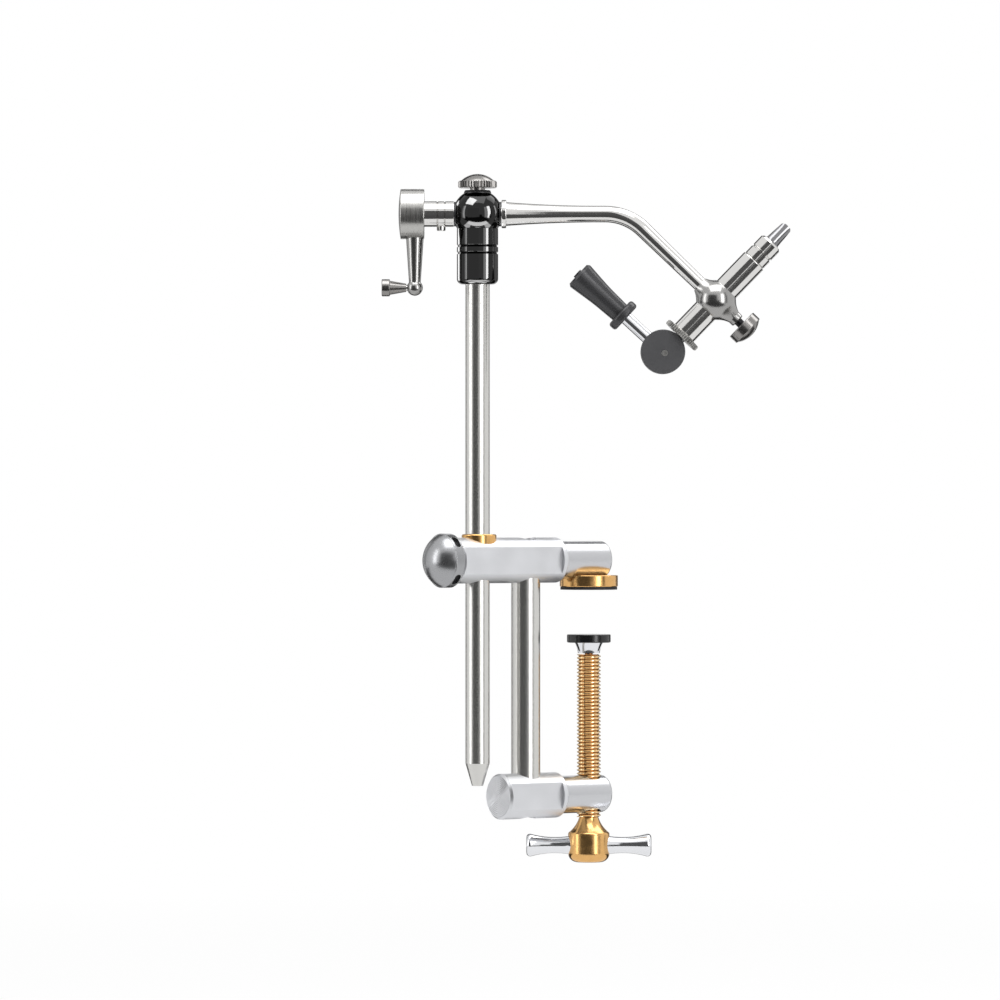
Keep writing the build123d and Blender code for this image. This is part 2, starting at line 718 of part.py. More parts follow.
def thumb():
    screw = rod(THUMB_TIP_R, THUMB_TIP, THUMB_TIP + 1) + rod(THUMB_SCREW_R, THUMB_TIP + 1, THUMB_IN)
    knob = disc(THUMB_R, THUMB_KNOB, THUMB_RIM)
    knob += crown(THUMB_RIM, THUMB_DOME_R, THUMB_DOME)
    return {"thumb_knob": JAW * DOWN * (knob - screw), "thumb_screw": JAW * DOWN * screw}


def barrel():
    body = lathe(
        (RING_SEAT_BACK, DRAWBAR_R + RUN),
        (RING_SEAT_BACK, RING_SEAT_R),
        (BARREL_BACK, RING_SEAT_R),
        (BARREL_BACK, BARREL_R, EDGE),
        (BARREL_FRONT, BARREL_R, EDGE),
        (BARREL_FRONT, BARREL_BORE_R),
        (BARREL_GUIDE, BARREL_BORE_R),
        (BARREL_GUIDE, DRAWBAR_R + RUN),
    )
    nose = lathe(
        (NOSE_IN, NOSE_BORE_R),
        (NOSE_IN, BARREL_BORE_R),
        (BARREL_FRONT, BARREL_BORE_R),
        (BARREL_FRONT, NOSE_R - EDGE),
        (BARREL_FRONT + EDGE, NOSE_R),
        (NOSE_GROOVE - 2 * NOSE_GROOVE_W, NOSE_R),
        (NOSE_GROOVE - NOSE_GROOVE_W, NOSE_R - EDGE),
        (NOSE_GROOVE + NOSE_GROOVE_W, NOSE_R - EDGE),
        (NOSE_GROOVE + 2 * NOSE_GROOVE_W, NOSE_R),
        (NOSE_END - NOSE_CHAMFER, NOSE_R),
        (NOSE_END, NOSE_R - NOSE_CHAMFER),
        (NOSE_END, NOSE_MOUTH_R),
        (NOSE_CONE, NOSE_BORE_R),
    )
    room = STOP_BACK - BARREL_GUIDE - 2 * SPRING_WIRE_R - 2 * RUN
    coil = Helix(pitch=room / SPRING_TURNS, height=room, radius=SPRING_R)
    wire = sweep(Plane(origin=coil @ 0, z_dir=coil % 0) * Circle(SPRING_WIRE_R), path=coil)
    spring = Pos(BARREL_GUIDE + SPRING_WIRE_R + RUN, 0, 0) * Rot(0, 90, 0) * wire
    ring = knurled(RING_R, RING_TEETH, RING_SEAT_BACK - RUN, BARREL_BACK - RUN)
    ring -= rod(RING_SEAT_R + RUN, RING_SEAT_BACK - RUN, BARREL_BACK - RUN)
    return {
        "jaw_barrel": JAW * body,
        "nose_sleeve": JAW * nose,
        "jaw_spring": JAW * spring,
        "adjusting_ring": JAW * ring,
    }


def drawbar():
    bar = lathe(
        (DRAWBAR_BACK, 0),
        (DRAWBAR_BACK, DRAWBAR_R, 1),
        (CROSSHEAD_BACK, DRAWBAR_R),
        (CROSSHEAD_BACK, 0),
    )
    bar += rod(STOP_R, STOP_BACK, STOP_FRONT) + rod(CROSSHEAD_R, CROSSHEAD_BACK, CROSSHEAD_FRONT)
    tongue = TONGUE_FRONT - DRAWBAR_BACK
    for side in (-1, 1):
        flat = Box(tongue, DRAWBAR_R, long)
        bar -= Pos(TONGUE_FRONT - tongue / 2, side * (TONGUE + DRAWBAR_R / 2), 0) * flat
        neck = CROSSHEAD_FRONT - HEEL_X
        groove = Pos(HEEL_X, side * HEEL_Y, 0) * UP * rod(HEEL_R + RUN, -long / 2, long / 2)
        groove += Pos(HEEL_X + neck / 2, side * HEEL_Y, 0) * Box(neck, WEB + 2 * WEB_GAP, long)
        bar -= groove
    pin = rod(CAM_PIN_R, -CAM_HALF, CAM_HALF)
    for end in (-CAM_HALF, CAM_HALF):
        pin -= rod(CAM_PIN_DRILL_R, end - CAM_PIN_DRILL_R, end + CAM_PIN_DRILL_R)
    pin = Pos(PIVOT_X, 0, 0) * REAR * pin
    return {"drawbar": JAW * (bar - pin), "cam_pin": JAW * pin}


def jaw_section(x, reach, bulge):
    """A jaw's section at x, behind the slit: it reaches up and down from the axis and bulges rearwards."""
    arc = ThreePointArc((JAW_SLIT, -reach), (bulge, 0), (JAW_SLIT, reach))
    face = make_face([arc.edge(), Line((JAW_SLIT, reach), (JAW_SLIT, -reach)).edge()])
    return Plane((x, 0, 0), x_dir=(0, 1, 0), z_dir=(1, 0, 0)) * face


def jaw():
    """The rear jaw about the barrel's axis; the front one is the same piece turned over."""
    slope = (NOSE_MOUTH_R - NOSE_BORE_R) / (NOSE_END - NOSE_CONE)
    cone_start_r = NOSE_BORE_R - (NOSE_CONE - JAW_CONE) * slope - RUN
    whole = lathe(
        (JAW_BACK, 0),
        (JAW_BACK, JAW_R),
        (JAW_CONE, JAW_R),
        (JAW_CONE, cone_start_r),
        (NOSE_END, NOSE_MOUTH_R - RUN),
        (JAW_SHOULDER, JAW_SHOULDER_R),
        (JAW_SHOULDER, 0),
    )
    half = whole & Pos(0, JAW_SLIT + long / 2, 0) * Box(2 * long, long, long)
    shoulder_reach = (JAW_SHOULDER_R**2 - JAW_SLIT**2) ** 0.5
    shoulder = jaw_section(JAW_SHOULDER, shoulder_reach, JAW_SHOULDER_R)
    tip = loft([shoulder, jaw_section(JAW_TIP, JAW_TIP_R, JAW_TIP_HALF)])
    side = FilletPolyline(
        (JAW_CONE, -JAW_SHOULDER_R - EDGE),
        (JAW_TIP, -JAW_TIP_R - PASS),
        (JAW_TIP, JAW_TIP_R + PASS),
        (JAW_CONE, JAW_SHOULDER_R + EDGE),
        radius=[0, JAW_TIP_ROUND, JAW_TIP_ROUND, 0],
        close=True,
    )
    half += tip & Rot(90, 0, 0) * extrude(make_face(side.edges()), -long)
    half += Pos(HEEL_X, HEEL_Y, 0) * UP * rod(HEEL_R, -HEEL_HALF, HEEL_HALF)
    web = JAW_BACK - HEEL_X + 1
    half += Pos(HEEL_X + web / 2, HEEL_Y, 0) * Box(web, WEB, 2 * (JAW_R - 2 * EDGE))
    return half


def cam():
    wheel = Pos(0, 0, CAM_OFF) * REAR * disc(CAM_R, -CAM_HALF, CAM_HALF)
    corner = Pos(long / 2 - CAM_RELIEF, 0, CAM_RELIEF - long / 2)
    wheel -= corner * Box(long, 2 * CAM_SLOT, long)
    wheel -= REAR * rod(CAM_PIN_R + RUN, -CAM_HALF, CAM_HALF)
    wheel -= UP * (rod(SPIGOT_R, LEVER_SPIGOT, LEVER_ROOT) + rod(LEVER_R, LEVER_ROOT, CAM_R + 2 * CAM_OFF))
    flange_end = LEVER_FLANGE + LEVER_FLANGE_W
    lever = rod(SPIGOT_R, LEVER_SPIGOT, LEVER_ROOT) + rod(LEVER_R, LEVER_ROOT, LEVER_FLANGE)
    lever += rod(SPIGOT_R, LEVER_FLANGE, GRIP_BORE)
    grip = lathe(
        (LEVER_FLANGE, 0),
        (LEVER_FLANGE, LEVER_FLANGE_R, LEVER_FLANGE_W / 3),
        (flange_end, LEVER_FLANGE_R, LEVER_FLANGE_W / 3),
        (flange_end, GRIP_NECK_R),
        (GRIP_WAIST, GRIP_WAIST_R, GRIP_SWEEP),
        (GRIP_FULL, GRIP_FULL_R, EDGE),
        (GRIP_FACE, GRIP_FACE_R),
        (GRIP_FACE, 0),
    )
    grip += rod(GRIP_BUTTON_R, GRIP_FACE, GRIP_BUTTON)
    grip -= rod(SPIGOT_R, LEVER_FLANGE, GRIP_BORE)
    return {
        "cam_disc": JAW * CAM * wheel,
        "lever_rod": JAW * CAM * UP * lever,
        "lever_grip": JAW * CAM * UP * grip,
    }


arm = bent_arm()
parts = {
    "upper_clamp_bar": upper_clamp_bar(),
    "stem_ferrule": stem_ferrule(),
    "lower_clamp_bar": lower_clamp_bar(),
    "clamp_column": clamp_column(),
    "upper_column_bolt": UPPER_BAR * Pos(COLUMN_REACH, 0, 0) * UP * column_bolt(),
    "lower_column_bolt": LOWER_BAR * Pos(COLUMN_REACH, 0, 0) * DOWN * column_bolt(),
    **upper_pad(),
    **stem_lock(),
    "clamp_screw": clamp_screw(),
    **lower_pad(),
    **screw_handle(),
    "stem": stem(),
    "head_housing": head_housing(),
    "right_bush": HEAD * bush(),
    "left_bush": HEAD * LEFT * bush(),
    "socket_set_screw": socket_set_screw(),
    **brake(),
    **rotor(),
    **crank(),
    "bent_arm": arm,
    "jaw_holder": jaw_holder(arm),
    **thumb(),
    **barrel(),
    **drawbar(),
    "rear_jaw": JAW * jaw(),
    "front_jaw": JAW * Rot(180, 0, 0) * jaw(),
    **cam(),
}

os.makedirs("parts", exist_ok=True)
for name, piece in parts.items():
    export_step(piece, f"parts/{name}.step")
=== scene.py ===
from math import cos, pi, radians, sin

import bpy
from bpy.props import FloatProperty, FloatVectorProperty, IntProperty, PointerProperty
from bpy.types import Operator, Panel, PropertyGroup
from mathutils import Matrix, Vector


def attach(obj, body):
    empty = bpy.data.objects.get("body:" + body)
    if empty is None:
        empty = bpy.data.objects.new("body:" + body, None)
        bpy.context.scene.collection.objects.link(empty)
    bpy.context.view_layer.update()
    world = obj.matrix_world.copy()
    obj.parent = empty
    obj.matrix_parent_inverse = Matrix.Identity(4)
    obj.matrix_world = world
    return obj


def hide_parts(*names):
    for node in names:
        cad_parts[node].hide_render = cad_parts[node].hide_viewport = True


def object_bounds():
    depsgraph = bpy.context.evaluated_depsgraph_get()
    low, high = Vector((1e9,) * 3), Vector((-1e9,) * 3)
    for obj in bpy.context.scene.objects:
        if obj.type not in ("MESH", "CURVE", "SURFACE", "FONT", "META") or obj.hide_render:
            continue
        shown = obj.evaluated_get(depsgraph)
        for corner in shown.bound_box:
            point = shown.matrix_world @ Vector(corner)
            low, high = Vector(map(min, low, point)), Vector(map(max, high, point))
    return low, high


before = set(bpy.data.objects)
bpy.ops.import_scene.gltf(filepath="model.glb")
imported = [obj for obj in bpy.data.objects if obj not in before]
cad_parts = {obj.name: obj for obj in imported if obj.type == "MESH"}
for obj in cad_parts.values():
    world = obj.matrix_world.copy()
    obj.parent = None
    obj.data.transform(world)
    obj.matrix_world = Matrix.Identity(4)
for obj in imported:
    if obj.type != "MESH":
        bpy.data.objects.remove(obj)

bl_info = {
    "name": "Fly Tying Vise",
    "version": (1, 0, 0),
    "blender": (4, 5, 0),
    "location": "View3D > Sidebar > Vise",
    "description": "Finishes a rotary fly tying vise and stands it in a plain studio",
    "category": "Object",
}

MM = 0.001
CAD_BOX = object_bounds()

# Where the clamp bars lie. The pads' axis is Z, and a bar is measured from the stem's axis.
BAR_TURN = radians(36)
PAD_REACH = 57 * MM
BAR_STEP = 40 * MM
LOWER_BAR_END = 10.5 * MM
LOWER_BAR_Z = -84.8 * MM

# Most values of a noise texture lie between these.
NOISE_LOW = 0.3
NOISE_HIGH = 0.7

# Points nearer than this become one, and faces that meet at more than this angle keep their edge.
MERGE = 0.002 * MM
CREASE = radians(35)

# Soft boxes: name, azimuth and elevation in degrees, distance from the vise, width and height in
# metres, and the radiance of the face. Azimuth 0 is the camera's side.
SOFT_BOXES = (
    ("right strip", 40, 4, 1.3, 0.34, 1.5, 4.0),
    ("left strip", -70, 4, 1.3, 0.3, 1.5, 2.6),
    ("overhead", 0, 76, 1.4, 1.3, 1.1, 3.2),
    ("rear right", 122, 52, 1.4, 0.9, 0.7, 2.6),
)

# Cards that give the bright metal its dark bands, in the same columns.
FLAGS = (
    ("front flag", -21, -2, 1.4, 1.5, 1.9, 0.1),
    ("low front flag", 13, -7, 1.4, 0.36, 0.36, 0.1),
    ("left flag", -122, 0, 1.4, 1.2, 2.0, 0.9),
    ("right flag", 62, 0, 1.2, 0.24, 1.9, 0.25),
    ("left dark flag", -130, 0, 1.3, 0.35, 1.9, 0.3),
    ("rear right flag", 150, 0, 1.4, 0.8, 2.0, 0.2),
    ("rear left flag", -158, 0, 1.4, 0.5, 2.0, 0.2),
    ("rear top flag", 180, 40, 1.4, 2.2, 0.5, 0.05),
)

# Cards on the floor: name, place along X and Y, width and depth in metres, and radiance.
FLOOR_FLAGS = (
    ("front floor flag", -0.45, -0.98, 2.2, 1.2, 0.08),
    ("rear floor flag", 0.0, 0.4, 1.6, 0.5, 0.05),
)

# Lights for the black chrome alone, in the columns of the soft boxes.
PLATING_BOXES = (
    ("front plating light", -21, -2, 1.2, 1.3, 1.7, 0.8),
    ("right plating light", 55, 4, 1.2, 0.3, 1.5, 30.0),
    ("left plating light", -66, 4, 1.2, 0.16, 1.5, 6.0),
    ("rear right plating light", 95, 0, 1.2, 0.16, 1.5, 8.0),
    ("rear left plating light", -128, 0, 1.2, 0.4, 1.5, 10.0),
    ("upper left plating light", -50, 58, 1.2, 0.7, 0.6, 28.0),
)

# Lights for the black chrome alone that lie on the floor, in the columns of the floor's cards. The
# last is a disc under the head. The gap round it keeps the housing's socket dark from high views.
PLATING_FLOOR = (
    ("front foot plating light", -0.046, -0.351, 0.84, 0.205, 17.0),
    ("left foot plating light", -0.3635, -0.141, 0.205, 0.215, 11.0),
    ("right foot plating light", 0.2715, -0.141, 0.205, 0.215, 11.0),
    ("foot plating light", -0.046, -0.0335, 0.36, 0.36, 13.4),
)


def linear(code):
    """The linear colour of an sRGB hex code."""
    levels = [int(code[i : i + 2], 16) / 255 for i in (1, 3, 5)]
    return [v / 12.92 if v <= 0.04045 else ((v + 0.055) / 1.055) ** 2.4 for v in levels]


def colour(name, note, code):
    """A colour property with a default from an sRGB hex code."""
    return FloatVectorProperty(
        name=name,
        description=note,
        subtype="COLOR",
        size=3,
        min=0,
        max=1,
        default=linear(code),
    )


def length(name, note, millimetres):
    """A length property with a default in millimetres."""
    return FloatProperty(
        name=name,
        description=note,
        subtype="DISTANCE",
        unit="LENGTH",
        precision=5,
        default=millimetres * MM,
    )


class ViseSizes(PropertyGroup):
    """Sizes of the clamp screw"""

    screw_crest: length("Screw crest", "Radius of the clamp screw over its thread", 5.0)
    screw_root: length("Screw root", "Radius of the clamp screw at the bottom of its thread", 4.1)
    screw_pitch: length("Screw pitch", "Rise of the thread in one turn", 1.5)
    screw_land: length("Screw land", "Width of the flat on the thread's crest", 0.3)
    screw_top: length("Screw top", "Height of the thread's upper end", -26.9)
    screw_foot: length("Screw foot", "Height of the thread's lower end", -94.4)
    screw_ball: length("Screw ball", "Radius of the ball that sits in the swivel cup", 2.4)
    screw_ball_height: length("Ball height", "Height of the ball's middle", -24.6)
    screw_neck: length("Screw neck", "Radius of the neck under the ball", 1.5)
    screw_tenon: length("Screw tenon", "Radius of the tenon in the handle hub", 3.0)
    screw_tenon_foot: length("Tenon foot", "Height of the tenon's lower end", -100.4)
    turn_steps: IntProperty(
        name="Turning steps", description="Faces round a turned piece", default=72, min=24, max=180
    )


class ViseColours(PropertyGroup):
    """Colours of the finishes and the floor"""

    aluminium: colour("Aluminium", "Blasted aluminium of the clamp bars", "#D6D7DA")
    stainless: colour("Stainless steel", "Stem, column and crank hub", "#D0CFCC")
    polished: colour("Polished steel", "Bent arm, shaft, barrel, holder and crank arm", "#D9D8D6")
    chrome: colour("Chrome", "Lock knob, handle bars, cup and lever rod", "#E2E3E6")
    black_chrome: colour("Black chrome", "Plated head housing", "#303030")
    brass: colour("Brass", "Hub, pad disc, ferrule and plunger", "#E2B272")
    cut_brass: colour("Cut brass", "Clamp screw", "#F2D7AE")
    # The painted shade at the bottom of the clamp screw's thread.
    painted_thread_shade: colour("Painted thread shade", "Bottom of the clamp screw's thread", "#A2703E")
    rubber: colour("Rubber", "Upper pad's face and the ring in the lock knob", "#1B1B1D")
    anodised: colour("Black anodising", "Cam disc", "#4B4B4D")
    grip: colour("Lever grip", "Turned grip of the cam lever", "#39393B")
    plastic: colour("Black plastic", "Bushes, tension seat and brake shoe", "#202022")
    pad: colour("Black pad", "Lower pad's face", "#101011")
    pewter: colour("Dull steel", "Knurled adjusting ring", "#A8A7A4")
    tool_steel: colour("Tool steel", "Jaws, drawbar and spring", "#868688")
    dark_steel: colour("Dark steel", "Thumb knob, tension knob and crank knob", "#8E8C8A")
    black_oxide: colour("Black oxide", "Screws, bolts and studs", "#232325")
    floor: colour("Floor", "Pale floor of the studio", "#F4F4F4")


def add(tree, kind, sockets=None, **settings):
    """Adds a node, sets its properties, and sets or links its sockets by name or number."""
    node = tree.nodes.new(kind)
    for name, value in settings.items():
        setattr(node, name, value)
    for name, value in (sockets or {}).items():
        if isinstance(value, bpy.types.NodeSocket):
            tree.links.new(value, node.inputs[name])
        else:
            node.inputs[name].default_value = value
    return node


def start_finish(name, base, metallic, roughness):
    """A new material with one shader. Gives it, its tree, its shader and its object coordinates."""
    material = bpy.data.materials.new(name)
    material.use_nodes = True
    tree = material.node_tree
    tree.nodes.clear()
    sockets = {"Base Color": (*base, 1), "Metallic": metallic, "Roughness": roughness}
    shader = add(tree, "ShaderNodeBsdfPrincipled", sockets)
    add(tree, "ShaderNodeOutputMaterial", {"Surface": shader.outputs[0]})
    place = add(tree, "ShaderNodeTexCoord").outputs["Object"]
    return material, tree, shader, place


def per_metre(millimetres):
    """The scale of a noise whose features are this wide."""
    return 1 / (millimetres * MM)


def tint(base, factor):
    """A colour made darker or lighter by a factor."""
    return [min(1, c * factor) for c in base]


def vary(tree, shader, gloss_by, gloss, shade_by, shades):
    """Lets one value vary a finish's roughness, and one its colour, each between two ends."""
    low, high = gloss
    sockets = {"Value": gloss_by, "From Min": NOISE_LOW, "From Max": NOISE_HIGH}
    rough = add(tree, "ShaderNodeMapRange", {**sockets, "To Min": low, "To Max": high}).outputs[0]
    tree.links.new(rough, shader.inputs["Roughness"])
    dark, light = ((*ends, 1) for ends in shades)
    sockets = {0: shade_by, 6: dark, 7: light}
    tone = add(tree, "ShaderNodeMix", sockets, data_type="RGBA").outputs[2]
    tree.links.new(tone, shader.inputs["Base Color"])
    return rough, tone


def blasted_aluminium(base):
    # Bead blasted aluminium: soft grey with a fine even grit, and a turned, polished narrow end.
    material, tree, shader, place = start_finish("Blasted aluminium", base, 1.0, 0.4)
    sockets = {"Location": (PAD_REACH, 0, -LOWER_BAR_Z), "Rotation": (0, 0, -BAR_TURN)}
    along = add(tree, "ShaderNodeMapping", {"Vector": place, **sockets}).outputs[0]
    reach, _, rise = add(tree, "ShaderNodeSeparateXYZ", {"Vector": along}).outputs
    blend = 0.2 * MM
    sockets = {"Value": reach, "From Min": BAR_STEP - blend, "From Max": BAR_STEP + blend}
    polished = add(tree, "ShaderNodeMapRange", sockets).outputs[0]
    sockets = {"Vector": place, "Scale": per_metre(9), "Detail": 2.0}
    cloud = add(tree, "ShaderNodeTexNoise", sockets).outputs[0]
    shades = tint(base, 0.94), tint(base, 1.04)
    rough, tone = vary(tree, shader, cloud, (0.36, 0.46), cloud, shades)
    rough = add(tree, "ShaderNodeMix", {0: polished, 2: rough, 3: 0.26}).outputs[0]
    tree.links.new(rough, shader.inputs["Roughness"])
    sockets = {0: polished, 6: tone, 7: (*tint(base, 0.84), 1)}
    tone = add(tree, "ShaderNodeMix", sockets, data_type="RGBA").outputs[2]
    tree.links.new(tone, shader.inputs["Base Color"])
    # The beads leave dimples of about 0.1 mm, drawn at 0.5 mm so that they show.
    sockets = {"Vector": place, "Scale": per_metre(0.5), "Detail": 4.0}
    grit = add(tree, "ShaderNodeTexNoise", sockets).outputs[0]
    even = add(tree, "ShaderNodeMath", {0: 1.0, 1: polished}, operation="SUBTRACT").outputs[0]
    dimples = add(tree, "ShaderNodeMath", {0: even, 1: grit}, operation="MULTIPLY").outputs[0]
    sockets = {"Height": dimples, "Strength": 0.3, "Distance": 0.05 * MM}
    blasted = add(tree, "ShaderNodeBump", sockets).outputs[0]
    # The end of the lower bar is faced on a lathe: circles 0.2 mm apart, drawn at 0.8 mm.
    sockets = {"Vector": along, "Scale": per_metre(0.8) * pi / 10, "Distortion": 0.0, "Detail": 0.0}
    settings = {"wave_type": "RINGS", "rings_direction": "X"}
    circles = add(tree, "ShaderNodeTexWave", sockets, **settings).outputs["Fac"]
    sockets = {0: reach, 1: LOWER_BAR_END + 0.05 * MM}
    at_end = add(tree, "ShaderNodeMath", sockets, operation="LESS_THAN").outputs[0]
    sockets = {0: rise, 1: -LOWER_BAR_Z / 2}
    is_lower = add(tree, "ShaderNodeMath", sockets, operation="LESS_THAN").outputs[0]
    sockets = {0: at_end, 1: is_lower}
    faced = add(tree, "ShaderNodeMath", sockets, operation="MULTIPLY").outputs[0]
    cut = add(tree, "ShaderNodeMath", {0: faced, 1: circles}, operation="MULTIPLY").outputs[0]
    sockets = {"Height": cut, "Strength": 1.0, "Distance": 0.12 * MM, "Normal": blasted}
    tree.links.new(add(tree, "ShaderNodeBump", sockets).outputs[0], shader.inputs["Normal"])
    return material


def ground_stainless(base):
    # Drawn and ground stainless rod: satin, with fine lines along the rod that keep its bands soft.
    material, tree, shader, place = start_finish("Ground stainless", base, 1.0, 0.26)
    # The lines are about 0.05 mm apart, drawn at 0.5 mm so that they show.
    sockets = {"Vector": place, "Scale": (per_metre(0.5), per_metre(0.5), per_metre(60))}
    drawn = add(tree, "ShaderNodeMapping", sockets).outputs[0]
    sockets = {"Vector": drawn, "Scale": 1.0, "Detail": 3.0}
    lines = add(tree, "ShaderNodeTexNoise", sockets).outputs[0]
    vary(tree, shader, lines, (0.24, 0.27), lines, (tint(base, 0.97), tint(base, 1.02)))
    return material


def bright_metal(name, base, clear, smudged, patch):
    """A mirror finish whose gloss varies a little in patches of a width in millimetres."""
    material, tree, shader, place = start_finish(name, base, 1.0, clear)
    sockets = {"Vector": place, "Scale": per_metre(patch), "Detail": 4.0}
    wiped = add(tree, "ShaderNodeTexNoise", sockets).outputs[0]
    vary(tree, shader, wiped, (clear, smudged), wiped, (tint(base, 0.97), tint(base, 1.02)))
    return material


def polished_steel(base):
    # Buffed steel: a clear mirror with a little haze where it has been handled.
    return bright_metal("Polished steel", base, clear=0.07, smudged=0.13, patch=7)


def satin_steel_shaded(base):
    # Steel polished with a coarser wheel, on which the studio runs together, in the polished
    # steel's colour darkened by half, a painted shade.
    return bright_metal("Shaded satin steel", tint(base, 0.5), clear=0.18, smudged=0.23, patch=6)


def bright_chrome(base):
    # Plated chrome: a clear mirror, faintly blue.
    return bright_metal("Bright chrome", base, clear=0.09, smudged=0.13, patch=6)


def satin_chrome_shaded(base):
    # Chrome over a finely turned surface: soft reflections that run into each other, in the
    # chrome's colour darkened to about half, a painted shade.
    return bright_metal("Shaded satin chrome", tint(base, 0.48), clear=0.25, smudged=0.31, patch=6)


def black_chrome(base):
    # Black chrome plating: a deep dark mirror that shows only the brightest lights.
    return bright_metal("Black chrome", base, clear=0.05, smudged=0.09, patch=6)


def polished_brass(base):
    # Polished brass: warm yellow mirror, a shade deeper where it has begun to tarnish.
    material, tree, shader, place = start_finish("Polished brass", base, 1.0, 0.14)
    sockets = {"Vector": place, "Scale": per_metre(4), "Detail": 4.0}
    wiped = add(tree, "ShaderNodeTexNoise", sockets).outputs[0]
    sockets = {"Vector": place, "Scale": per_metre(2.5), "Detail": 5.0}
    tarnish = add(tree, "ShaderNodeTexNoise", sockets).outputs[0]
    vary(tree, shader, wiped, (0.14, 0.24), tarnish, (tint(base, 0.82), tint(base, 1.08)))
    return material


def cut_brass(base, root_shade, root, crest):
    # Brass from the die: paler than the polished pieces. It has a painted glint on every crest and
    # upper flank, and a painted shade that grows darker towards the bottom of the thread.
    material, tree, shader, place = start_finish("Cut brass", base, 1.0, 0.12)
    sockets = {"Vector": place, "Scale": per_metre(4), "Detail": 4.0}
    wiped = add(tree, "ShaderNodeTexNoise", sockets).outputs[0]
    # From the root to half way up the flank the brass runs from a painted shade to a painted glint
    # a little lighter than the brass.
    sockets = {0: place, 1: (1, 1, 0)}
    level = add(tree, "ShaderNodeVectorMath", sockets, operation="MULTIPLY").outputs[0]
    radius = add(tree, "ShaderNodeVectorMath", {0: level}, operation="LENGTH").outputs["Value"]
    sockets = {"Value": radius, "From Min": root, "From Max": (root + crest) / 2}
    lit_flank = add(tree, "ShaderNodeMapRange", sockets).outputs[0]
    vary(tree, shader, wiped, (0.12, 0.2), lit_flank, (root_shade, tint(base, 1.04)))
    return material


def brushed_steel(base):
    # Turned steel, left brushed: fine circles round the crank's axis, which runs along X.
    material, tree, shader, place = start_finish("Brushed steel", base, 1.0, 0.3)
    # Tool marks are about 0.05 mm apart, drawn at 0.6 mm so that they show, and run on for 17 mm.
    apart, on = per_metre(0.6), per_metre(50 / 3)
    sockets = {"Vector": place, "Scale": (apart, on, on)}
    rings = add(tree, "ShaderNodeMapping", sockets).outputs[0]
    sockets = {"Vector": rings, "Scale": 1.0, "Detail": 3.0}
    lines = add(tree, "ShaderNodeTexNoise", sockets).outputs[0]
    vary(tree, shader, lines, (0.24, 0.32), lines, (tint(base, 0.94), tint(base, 1.04)))
    sockets = {"Height": lines, "Strength": 0.08, "Distance": 0.02 * MM}
    tree.links.new(add(tree, "ShaderNodeBump", sockets).outputs[0], shader.inputs["Normal"])
    return material


def grained(name, base, metallic, low, high, grain, depth):
    """A surface between two roughnesses, with a grain of a width and a depth in millimetres."""
    material, tree, shader, place = start_finish(name, base, metallic, low)
    sockets = {"Vector": place, "Scale": per_metre(grain), "Detail": 4.0}
    grit = add(tree, "ShaderNodeTexNoise", sockets).outputs[0]
    sockets = {"Vector": place, "Scale": per_metre(6), "Detail": 3.0}
    cloud = add(tree, "ShaderNodeTexNoise", sockets).outputs[0]
    vary(tree, shader, cloud, (low, high), cloud, (tint(base, 0.93), tint(base, 1.06)))
    sockets = {"Height": grit, "Strength": 0.4, "Distance": depth * MM}
    tree.links.new(add(tree, "ShaderNodeBump", sockets).outputs[0], shader.inputs["Normal"])
    return material


def moulded_rubber(base):
    # Moulded rubber: matt black with a fine pebbled skin.
    return grained("Moulded rubber", base, 0.0, low=0.62, high=0.78, grain=0.6, depth=0.06)


def black_anodising(base):
    # Black anodised aluminium: satin, slightly metallic, with a blasted grain.
    return grained("Black anodising", base, 0.25, low=0.42, high=0.48, grain=0.3, depth=0.015)


def turned_grip(base):
    # Black anodised and polished: darker than the blasted cam, with a long soft shine.
    return grained("Polished anodising", base, 0.25, low=0.28, high=0.34, grain=0.6, depth=0.002)


def moulded_plastic(base):
    # Moulded acetal: black and smooth with a soft gloss.
    return grained("Moulded acetal", base, 0.0, low=0.28, high=0.38, grain=0.8, depth=0.02)


def glossy_pad(base):
    # Hard polished plastic: deep black with a clear gloss.
    return grained("Polished acetal", base, 0.0, low=0.14, high=0.2, grain=0.8, depth=0.004)


def dull_steel(base):
    # Knurled steel, tumbled: grey with worn bright points.
    return grained("Tumbled steel", base, 1.0, low=0.24, high=0.36, grain=0.5, depth=0.02)


def tool_steel(base):
    # Hardened tool steel, ground and polished: a grey mirror, softer than the plated pieces.
    return grained("Tool steel", base, 1.0, low=0.1, high=0.16, grain=0.5, depth=0.004)


def dark_steel(base):
    # Polished steel under a thin dark plating: a smoky mirror.
    return grained("Dark steel", base, 1.0, low=0.2, high=0.28, grain=0.5, depth=0.004)


def black_oxide(base):
    # Black oxide on steel: nearly black, oily satin.
    return grained("Black oxide", base, 0.8, low=0.3, high=0.42, grain=0.4, depth=0.02)


def dress(finish, *names):
    """Gives CAD nodes a finish through their own material slots."""
    for name in names:
        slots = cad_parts[name].material_slots
        if not slots:
            raise RuntimeError(f"{name} has no material slot")
        for slot in slots:
            slot.material = finish


def start_mesh(name):
    """A new mesh object of one vertex at the origin, left selected in edit mode."""
    bpy.ops.object.select_all(action="DESELECT")
    bpy.ops.mesh.primitive_plane_add(size=MM, enter_editmode=True)
    made = bpy.context.object
    made.name = name
    made.data.name = name
    bpy.ops.mesh.merge(type="CENTER")
    bpy.ops.mesh.select_all(action="SELECT")
    return made


def draw_line(points):
    """Moves the one selected vertex from the origin and draws edges through points of (x, z)."""
    bpy.ops.transform.translate(value=(points[0][0], 0, points[0][1]))
    for (x0, z0), (x1, z1) in zip(points, points[1:]):
        bpy.ops.mesh.extrude_region_move(TRANSFORM_OT_translate={"value": (x1 - x0, 0, z1 - z0)})


